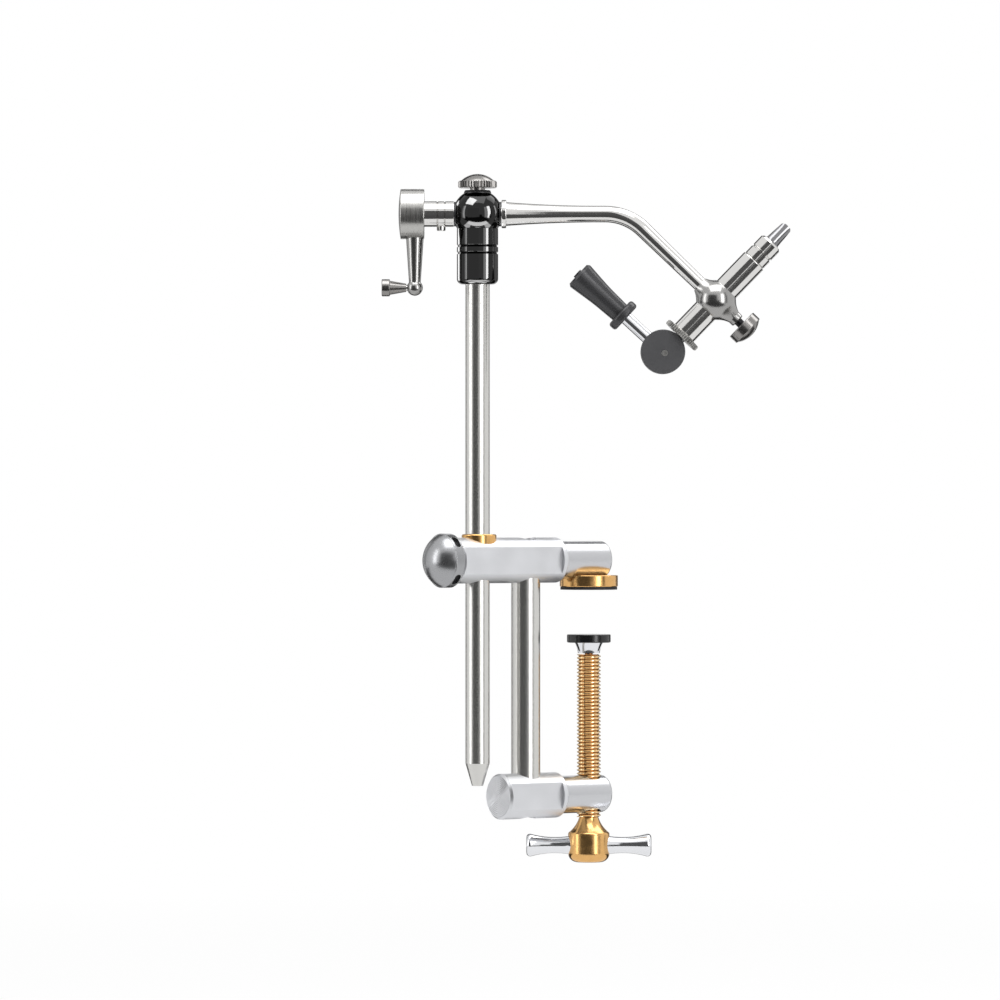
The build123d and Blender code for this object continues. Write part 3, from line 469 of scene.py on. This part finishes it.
def close_mesh():
    """Merges doubles and turns the faces outwards, then leaves edit mode."""
    bpy.ops.mesh.select_all(action="SELECT")
    bpy.ops.mesh.remove_doubles(threshold=MERGE)
    bpy.ops.mesh.normals_make_consistent(inside=False)
    bpy.ops.object.mode_set(mode="OBJECT")


def turned(name, points, steps):
    """A piece turned about Z from an outline of (radius, height) from the axis and back to it."""
    made = start_mesh(name)
    draw_line(points)
    bpy.ops.mesh.select_all(action="SELECT")
    bpy.ops.mesh.spin(steps=steps, angle=2 * pi, center=(0, 0, 0), axis=(0, 0, 1))
    close_mesh()
    return made


class VISE_OT_clamp_bars(Operator):
    """Finishes the two clamp bars"""

    bl_idname = "vise.clamp_bars"
    bl_label = "Clamp Bars"

    def execute(self, context):
        aluminium = blasted_aluminium(context.scene.vise_colours.aluminium)
        dress(aluminium, "upper_clamp_bar", "lower_clamp_bar")
        return {"FINISHED"}


class VISE_OT_rods(Operator):
    """Finishes the stem and the clamp column"""

    bl_idname = "vise.rods"
    bl_label = "Stem and Column"

    def execute(self, context):
        dress(ground_stainless(context.scene.vise_colours.stainless), "stem", "clamp_column")
        return {"FINISHED"}


class VISE_OT_clamp_screw(Operator):
    """Models the clamp screw with its real thread, and finishes the other brass pieces"""

    bl_idname = "vise.clamp_screw"
    bl_label = "Clamp Screw and Brass"

    def execute(self, context):
        size = context.scene.vise_sizes
        colours = context.scene.vise_colours
        brass = polished_brass(colours.brass)
        dress(brass, "handle_hub", "upper_pad_disc", "stem_ferrule", "stem_lock_plunger")
        screw = self.thread(size)
        ends = self.ends(size)
        bpy.ops.object.select_all(action="DESELECT")
        ends.select_set(True)
        screw.select_set(True)
        context.view_layer.objects.active = screw
        bpy.ops.object.join()
        bpy.ops.object.shade_smooth_by_angle(angle=CREASE)
        thread = size.screw_root, size.screw_crest
        screw.data.materials.clear()
        screw.data.materials.append(cut_brass(colours.cut_brass, colours.painted_thread_shade, *thread))
        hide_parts("clamp_screw")
        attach(screw, "screw_and_handle")
        return {"FINISHED"}

    def thread(self, size):
        """The threaded length: one pitch's outline wound up the screw and cut off square."""
        screw = start_mesh("threaded_clamp_screw")
        half_land = size.screw_land / 2
        foot = size.screw_foot - size.screw_pitch
        middle = foot + size.screw_pitch / 2
        draw_line(
            [
                (size.screw_root, foot),
                (size.screw_crest, middle - half_land),
                (size.screw_crest, middle + half_land),
                (size.screw_root, foot + size.screw_pitch),
            ]
        )
        bpy.ops.object.mode_set(mode="OBJECT")
        wind = screw.modifiers.new("wind", "SCREW")
        wind.axis = "Z"
        wind.angle = 2 * pi
        wind.screw_offset = size.screw_pitch
        wind.iterations = round((size.screw_top - size.screw_foot) / size.screw_pitch) + 2
        wind.steps = wind.render_steps = size.turn_steps
        wind.use_merge_vertices = True
        bpy.ops.object.modifier_apply(modifier=wind.name)
        bpy.ops.object.mode_set(mode="EDIT")
        for height, up in ((size.screw_foot, False), (size.screw_top, True)):
            bpy.ops.mesh.select_all(action="SELECT")
            bpy.ops.mesh.bisect(
                plane_co=(0, 0, height),
                plane_no=(0, 0, 1),
                use_fill=True,
                clear_inner=not up,
                clear_outer=up,
            )
        close_mesh()
        return screw

    def ends(self, size):
        """The ball and neck above the thread, and the tenon below it."""
        ball = size.screw_ball
        steps = 24
        arc = [
            (ball * sin(a), size.screw_ball_height + ball * cos(a))
            for a in (pi * i / steps for i in range(steps))
            if ball * sin(a) >= size.screw_neck or a < pi / 2
        ]
        inside = size.screw_top - size.screw_pitch
        low = size.screw_foot + size.screw_pitch
        upper = turned("ball_end", arc + [(size.screw_neck, inside), (0, inside)], size.turn_steps)
        tenon = size.screw_tenon
        lower = turned(
            "tenon_end",
            [(0, low), (tenon, low), (tenon, size.screw_tenon_foot), (0, size.screw_tenon_foot)],
            size.turn_steps,
        )
        upper.select_set(True)
        lower.select_set(True)
        bpy.context.view_layer.objects.active = upper
        bpy.ops.object.join()
        return upper


class VISE_OT_pads(Operator):
    """Finishes the pads that grip the table edge, and the ring in the lock knob"""

    bl_idname = "vise.pads"
    bl_label = "Pads"

    def execute(self, context):
        colours = context.scene.vise_colours
        dress(moulded_rubber(colours.rubber), "upper_pad_face", "knob_ring")
        dress(glossy_pad(colours.pad), "lower_pad_face")
        return {"FINISHED"}


class VISE_OT_plated(Operator):
    """Finishes the chromed lock knob, handle bars, cup and lever rod"""

    bl_idname = "vise.plated"
    bl_label = "Chromed Pieces"

    def execute(self, context):
        base = context.scene.vise_colours.chrome
        # The lock knob takes the chrome at about half its colour, a painted shade.
        dress(satin_chrome_shaded(base), "stem_lock_knob")
        chrome = bright_chrome(base)
        dress(chrome, "left_handle_bar", "right_handle_bar", "swivel_cup", "lever_rod")
        return {"FINISHED"}


class VISE_OT_head(Operator):
    """Finishes the head housing and the plastic pieces in it"""

    bl_idname = "vise.head"
    bl_label = "Head"

    def execute(self, context):
        colours = context.scene.vise_colours
        dress(black_chrome(colours.black_chrome), "head_housing")
        plastic = moulded_plastic(colours.plastic)
        dress(plastic, "left_bush", "right_bush", "tension_seat", "brake_shoe")
        return {"FINISHED"}


class VISE_OT_crank(Operator):
    """Finishes the turned crank hub, the lock knob's washer and the cam's pin"""

    bl_idname = "vise.crank"
    bl_label = "Crank Hub"

    def execute(self, context):
        steel = brushed_steel(tint(context.scene.vise_colours.stainless, 0.76))
        dress(steel, "crank_hub", "knob_washer", "cam_pin")
        return {"FINISHED"}


class VISE_OT_arm(Operator):
    """Finishes the shaft, the bent arm, the barrel, the jaw holder and the crank arm"""

    bl_idname = "vise.arm"
    bl_label = "Arm and Barrel"

    def execute(self, context):
        base = context.scene.vise_colours.polished
        steel = polished_steel(base)
        dress(steel, "bent_arm", "jaw_barrel", "nose_sleeve", "crank_pin")
        dress(steel, "shaft_collar", "rotary_shaft", "collar_set_screw")
        # The holder and the crank arm take the polished steel at half its colour, a painted shade.
        dress(satin_steel_shaded(base), "jaw_holder", "crank_arm")
        return {"FINISHED"}


class VISE_OT_jaws(Operator):
    """Finishes the jaws, their drawbar, spring and adjusting ring, and the small knobs"""

    bl_idname = "vise.jaws"
    bl_label = "Jaws and Small Knobs"

    def execute(self, context):
        colours = context.scene.vise_colours
        dress(tool_steel(colours.tool_steel), "front_jaw", "rear_jaw", "drawbar", "jaw_spring")
        dress(dull_steel(colours.pewter), "adjusting_ring")
        dress(dark_steel(colours.dark_steel), "thumb_knob", "tension_knob", "crank_knob")
        return {"FINISHED"}


class VISE_OT_lever(Operator):
    """Finishes the cam disc and the lever's grip"""

    bl_idname = "vise.lever"
    bl_label = "Cam and Grip"

    def execute(self, context):
        colours = context.scene.vise_colours
        dress(black_anodising(colours.anodised), "cam_disc")
        dress(turned_grip(colours.grip), "lever_grip")
        return {"FINISHED"}


class VISE_OT_screws(Operator):
    """Finishes the screws, bolts and studs"""

    bl_idname = "vise.screws"
    bl_label = "Screws"

    def execute(self, context):
        oxide = black_oxide(context.scene.vise_colours.black_oxide)
        dress(oxide, "upper_column_bolt", "lower_column_bolt", "upper_pad_screw", "stem_lock_stud")
        dress(oxide, "socket_set_screw", "tension_screw", "thumb_screw")
        return {"FINISHED"}


def seen(tree):
    """One on rays from the camera, from reflections and through glass, and zero on others."""
    path = add(tree, "ShaderNodeLightPath").outputs
    sockets = {0: path["Is Camera Ray"], 1: path["Is Glossy Ray"]}
    open_air = add(tree, "ShaderNodeMath", sockets, operation="MAXIMUM").outputs[0]
    sockets = {0: open_air, 1: path["Is Transmission Ray"]}
    return add(tree, "ShaderNodeMath", sockets, operation="MAXIMUM").outputs[0]


class VISE_OT_stage(Operator):
    """Adds the floor, the lights, the flags and the camera"""

    bl_idname = "vise.stage"
    bl_label = "Studio"

    # The lights face this point, and the floor is clear of the stem at its lowest.
    middle = Vector((-20, -33.5, 40)) * MM
    ground = CAD_BOX[0][2] - 90 * MM
    floor_size = 30
    card_lift = 2 * MM
    lamp_lift = 4 * MM
    camera_place = Vector((-36.9, -2533.5, 37.2)) * MM
    sensor = 36
    lens = 219.5

    def execute(self, context):
        scene = context.scene
        scene.view_settings.view_transform = "Standard"
        self.world(scene)
        self.floor(scene.vise_colours.floor)
        for box in SOFT_BOXES:
            self.light(*box)
        for flag in FLAGS:
            self.card(*flag)
        for name, x, y, width, depth, glow in FLOOR_FLAGS:
            place = x, y, self.ground + self.card_lift
            self.put(name, place, (0, 0, 0), width, depth, glow)
        self.plating_lights()
        self.camera(scene)
        return {"FINISHED"}

    def world(self, scene):
        """White to the camera and in reflections, soft grey as light."""
        scene.world = bpy.data.worlds.new("Studio")
        scene.world.use_nodes = True
        tree = scene.world.node_tree
        tree.nodes.clear()
        sockets = {"Value": seen(tree), "To Min": 0.5, "To Max": 1.0}
        strength = add(tree, "ShaderNodeMapRange", sockets).outputs[0]
        glow = add(tree, "ShaderNodeBackground", {"Color": (1, 1, 1, 1), "Strength": strength})
        add(tree, "ShaderNodeOutputWorld", {"Surface": glow.outputs[0]})

    def floor(self, base):
        """A wide pale floor, white to the camera but for a quarter of the shadow near the vise."""
        bpy.ops.object.select_all(action="DESELECT")
        bpy.ops.mesh.primitive_plane_add(size=self.floor_size, location=(0, 0, self.ground))
        floor = bpy.context.object
        floor.name = "floor"
        material, tree, shader, place = start_finish("Matt floor", base, 0.0, 0.9)
        reach = add(tree, "ShaderNodeVectorMath", {0: place}, operation="LENGTH").outputs["Value"]
        near, far = 0.1, 1.2
        sockets = {"From Min": near, "From Max": far, "To Min": 0.75, "To Max": 1.0}
        lift = add(tree, "ShaderNodeMapRange", {"Value": reach, **sockets}).outputs[0]
        sockets = {0: seen(tree), 1: lift}
        white = add(tree, "ShaderNodeMath", sockets, operation="MULTIPLY").outputs[0]
        glow = add(tree, "ShaderNodeEmission", {"Color": (1, 1, 1, 1), "Strength": 1.0})
        sockets = {0: white, 1: shader.outputs[0], 2: glow.outputs[0]}
        mix = add(tree, "ShaderNodeMixShader", sockets).outputs[0]
        tree.links.new(mix, tree.nodes["Material Output"].inputs["Surface"])
        floor.data.materials.append(material)

    def away(self, azimuth, elevation, distance):
        """A place round the vise, and the way out to it from the middle."""
        turn, rise = radians(azimuth), radians(elevation)
        way = Vector((sin(turn) * cos(rise), -cos(turn) * cos(rise), sin(rise)))
        return self.middle + way * distance, way

    def light(self, name, azimuth, elevation, distance, width, height, glow):
        """A soft box round the vise."""
        place, way = self.away(azimuth, elevation, distance)
        return self.lamp(name, place, way.to_track_quat("Z", "Y").to_euler(), width, height, glow)

    def lamp(self, name, place, facing, width, height, glow):
        """An area lamp that the camera doesn't see, with this radiance on its face."""
        bpy.ops.object.light_add(type="AREA", location=place, rotation=facing)
        lamp = bpy.context.object
        lamp.name = name
        lamp.data.shape = "RECTANGLE"
        lamp.data.size = width
        lamp.data.size_y = height
        lamp.data.energy = glow * pi * width * height
        lamp.visible_camera = False
        return lamp

    def plating_lights(self):
        """Lights for the black chrome alone, which would show little of the studio without them."""
        housing = bpy.data.collections.new("Black chrome")
        housing.objects.link(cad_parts["head_housing"])
        lamps = [self.light(*box) for box in PLATING_BOXES]
        for name, x, y, width, depth, glow in PLATING_FLOOR:
            place = x, y, self.ground + self.lamp_lift
            lamps.append(self.lamp(name, place, (pi, 0, 0), width, depth, glow))
        lamps[-1].data.shape = "DISK"
        for lamp in lamps:
            lamp.light_linking.receiver_collection = housing

    def card(self, name, azimuth, elevation, distance, width, height, glow):
        """A card round the vise."""
        place, way = self.away(azimuth, elevation, distance)
        self.put(name, place, (-way).to_track_quat("Z", "Y").to_euler(), width, height, glow)

    def put(self, name, place, facing, width, height, glow):
        """A card that only reflections see, and only from its front."""
        bpy.ops.object.select_all(action="DESELECT")
        bpy.ops.mesh.primitive_plane_add(size=1, location=place, rotation=facing)
        card = bpy.context.object
        card.name = name
        card.scale = (width, height, 1)
        card.visible_camera = card.visible_diffuse = card.visible_shadow = False
        material = bpy.data.materials.new(name)
        material.use_nodes = True
        tree = material.node_tree
        tree.nodes.clear()
        back = add(tree, "ShaderNodeNewGeometry").outputs["Backfacing"]
        front = add(tree, "ShaderNodeEmission", {"Color": (1, 1, 1, 1), "Strength": glow})
        clear = add(tree, "ShaderNodeBsdfTransparent")
        sockets = {0: back, 1: front.outputs[0], 2: clear.outputs[0]}
        side = add(tree, "ShaderNodeMixShader", sockets)
        add(tree, "ShaderNodeOutputMaterial", {"Surface": side.outputs[0]})
        card.data.materials.append(material)

    def camera(self, scene):
        """A long lens level with the vise's middle, looking along +Y."""
        bpy.ops.object.camera_add(location=self.camera_place, rotation=(pi / 2, 0, 0))
        camera = bpy.context.object
        camera.data.sensor_width = self.sensor
        camera.data.lens = self.lens
        scene.camera = camera


STEPS = (
    VISE_OT_clamp_bars,
    VISE_OT_rods,
    VISE_OT_clamp_screw,
    VISE_OT_pads,
    VISE_OT_plated,
    VISE_OT_head,
    VISE_OT_crank,
    VISE_OT_arm,
    VISE_OT_jaws,
    VISE_OT_lever,
    VISE_OT_screws,
    VISE_OT_stage,
)


class VISE_PT_sidebar(Panel):
    """Lists the sizes, the colours and the steps"""

    bl_idname = "VISE_PT_sidebar"
    bl_label = "Fly Tying Vise"
    bl_space_type = "VIEW_3D"
    bl_region_type = "UI"
    bl_category = "Vise"

    def draw(self, context):
        for group in (context.scene.vise_sizes, context.scene.vise_colours):
            column = self.layout.column(align=True)
            for name in group.bl_rna.properties.keys():
                if name not in {"rna_type", "name"}:
                    column.prop(group, name)
        for step in STEPS:
            self.layout.operator(step.bl_idname)


CLASSES = (ViseSizes, ViseColours, *STEPS, VISE_PT_sidebar)


def register():
    for kind in CLASSES:
        bpy.utils.register_class(kind)
    bpy.types.Scene.vise_sizes = PointerProperty(type=ViseSizes)
    bpy.types.Scene.vise_colours = PointerProperty(type=ViseColours)


def unregister():
    del bpy.types.Scene.vise_colours
    del bpy.types.Scene.vise_sizes
    for kind in reversed(CLASSES):
        bpy.utils.unregister_class(kind)


def main():
    register()
    bpy.ops.vise.clamp_bars()
    bpy.ops.vise.rods()
    bpy.ops.vise.clamp_screw()
    bpy.ops.vise.pads()
    bpy.ops.vise.plated()
    bpy.ops.vise.head()
    bpy.ops.vise.crank()
    bpy.ops.vise.arm()
    bpy.ops.vise.jaws()
    bpy.ops.vise.lever()
    bpy.ops.vise.screws()
    bpy.ops.vise.stage()


if __name__ == "__main__":
    main()
